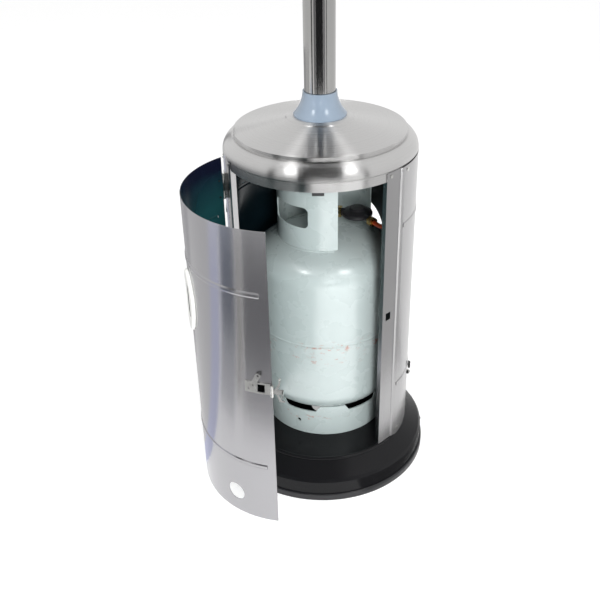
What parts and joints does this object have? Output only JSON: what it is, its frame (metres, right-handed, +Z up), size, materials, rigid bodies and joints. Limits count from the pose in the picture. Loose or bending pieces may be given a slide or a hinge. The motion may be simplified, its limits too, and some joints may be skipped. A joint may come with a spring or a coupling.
{
  "type": "patio heater",
  "caption": "Gas patio heater: bottle cupboard with a hinged curved door on a round foot, tall pole, slotted emitter and wide dish reflector, with its gas bottle inside.",
  "frame": {"origin": "on the floor, on the pole's axis at the centre of the foot ring", "axes": "+Z up along the pole, -Y out of the cupboard's opening"},
  "size_m": [0.8, 0.8, 2.1972],
  "materials": {
    "stainless": "brushed stainless sheet",
    "stainless_spun": "spun stainless sheet",
    "pole_steel": "polished stainless tube",
    "aluminium_dish": "spun aluminium",
    "black_enamel": "hammered black gloss",
    "black_plastic": "matte black",
    "grey_plastic": "pale blue grey gloss",
    "white_plastic": "white gloss",
    "bottle_paint": "pale grey gloss paint",
    "zinc": "bright zinc plate",
    "galvanised": "galvanised steel",
    "brass": "turned brass",
    "dark_rubber": "black rubber",
    "hose_rubber": "orange red rubber",
    "scorched_steel": "heat resistant steel"
  },
  "bodies": {
    "stand": {"foot_ring": "black_plastic", "foot_pan": "black_enamel", "shell_tab_right": "galvanised", "shell_tab_rear": "galvanised", "shell_tab_left": "galvanised", "rear_shell": "stainless", "cover": "stainless_spun", "case_screws": "zinc", "door_catch": "black_plastic", "side_stop": "dark_rubber", "side_nut": "zinc", "pole_socket": "galvanised", "socket_bolts": "zinc", "pole_collar": "grey_plastic", "pole_lower": "pole_steel", "pole_upper": "pole_steel", "pole_sleeve": "galvanised", "bottle_body": "bottle_paint", "bottle_foot": "bottle_paint", "bottle_guard": "bottle_paint", "bottle_valve": "brass", "regulator": "black_plastic", "regulator_nut": "brass", "hose_nut": "brass", "gas_hose": "hose_rubber", "riser_hose": "hose_rubber", "hinge_shell_leaf_lower": "zinc", "hinge_shell_leaf_upper": "zinc", "hinge_pins": "zinc", "hinge_shell_rivets": "zinc", "head_socket": "galvanised", "burner_case": "stainless_spun", "gas_valve": "brass", "igniter_body": "black_plastic", "burner_deck": "stainless_spun", "burner": "scorched_steel", "emitter_screen": "scorched_steel", "emitter_cap": "stainless_spun", "reflector_posts": "zinc", "reflector": "aluminium_dish", "wing_nuts": "zinc", "wheel_bracket": "black_enamel", "foot_bolts": "zinc", "axle": "zinc", "axle_caps": "black_plastic"},
    "latch_claw": {"latch_claw": "zinc"},
    "latch_lever": {"latch_lever": "zinc"},
    "handwheel": {"handwheel": "black_plastic"},
    "control_knob": {"control_knob": "black_plastic"},
    "igniter_button": {"igniter_button": "black_plastic"},
    "wheel_left": {"wheel_left": "dark_rubber"},
    "wheel_right": {"wheel_right": "dark_rubber"},
    "door": {"door_panel": "stainless", "door_grip": "white_plastic", "hinge_door_leaf_lower": "zinc", "hinge_door_leaf_upper": "zinc", "hinge_door_rivets": "zinc", "latch_plate": "zinc", "latch_rivets": "zinc", "latch_pin": "zinc"}
  },
  "joints": [
    {"name": "door_swing", "type": "hinge", "parent": "stand", "child": "door", "pos_m": [-0.17555, -0.08186, 0.406], "axis": [0, 0, 1], "range_deg": [-75, 60]},
    {"name": "latch_claw_swing", "type": "hinge", "parent": "door", "child": "latch_claw", "pos_m": [-0.00493, -0.3884, 0.403], "axis": [0, 0, -1], "range_deg": [0, 180]},
    {"name": "latch_lever_turn", "type": "hinge", "parent": "door", "child": "latch_lever", "pos_m": [-0.04209, -0.38441, 0.407], "axis": [-0.1305, -0.9914, 0], "range_deg": [0, 100]},
    {"name": "handwheel_turn", "type": "hinge", "parent": "stand", "child": "handwheel", "pos_m": [0, 0.032, 0.6], "axis": [0, 0, 1], "range_deg": [0, 540]},
    {"name": "knob_turn", "type": "hinge", "parent": "stand", "child": "control_knob", "pos_m": [0, -0.1, 1.816], "axis": [0, -1, 0], "range_deg": [0, 180]},
    {"name": "igniter_press", "type": "slide", "parent": "stand", "child": "igniter_button", "axis": [-0.6157, 0.788, 0], "range_m": [0, 0.005], "stiffness_N_per_m": 400},
    {"name": "wheel_left_spin", "type": "hinge", "parent": "stand", "child": "wheel_left", "pos_m": [-0.122, 0.272, 0.041], "axis": [1, 0, 0], "continuous": true},
    {"name": "wheel_right_spin", "type": "hinge", "parent": "stand", "child": "wheel_right", "pos_m": [0.122, 0.272, 0.041], "axis": [1, 0, 0], "continuous": true}
  ]
}
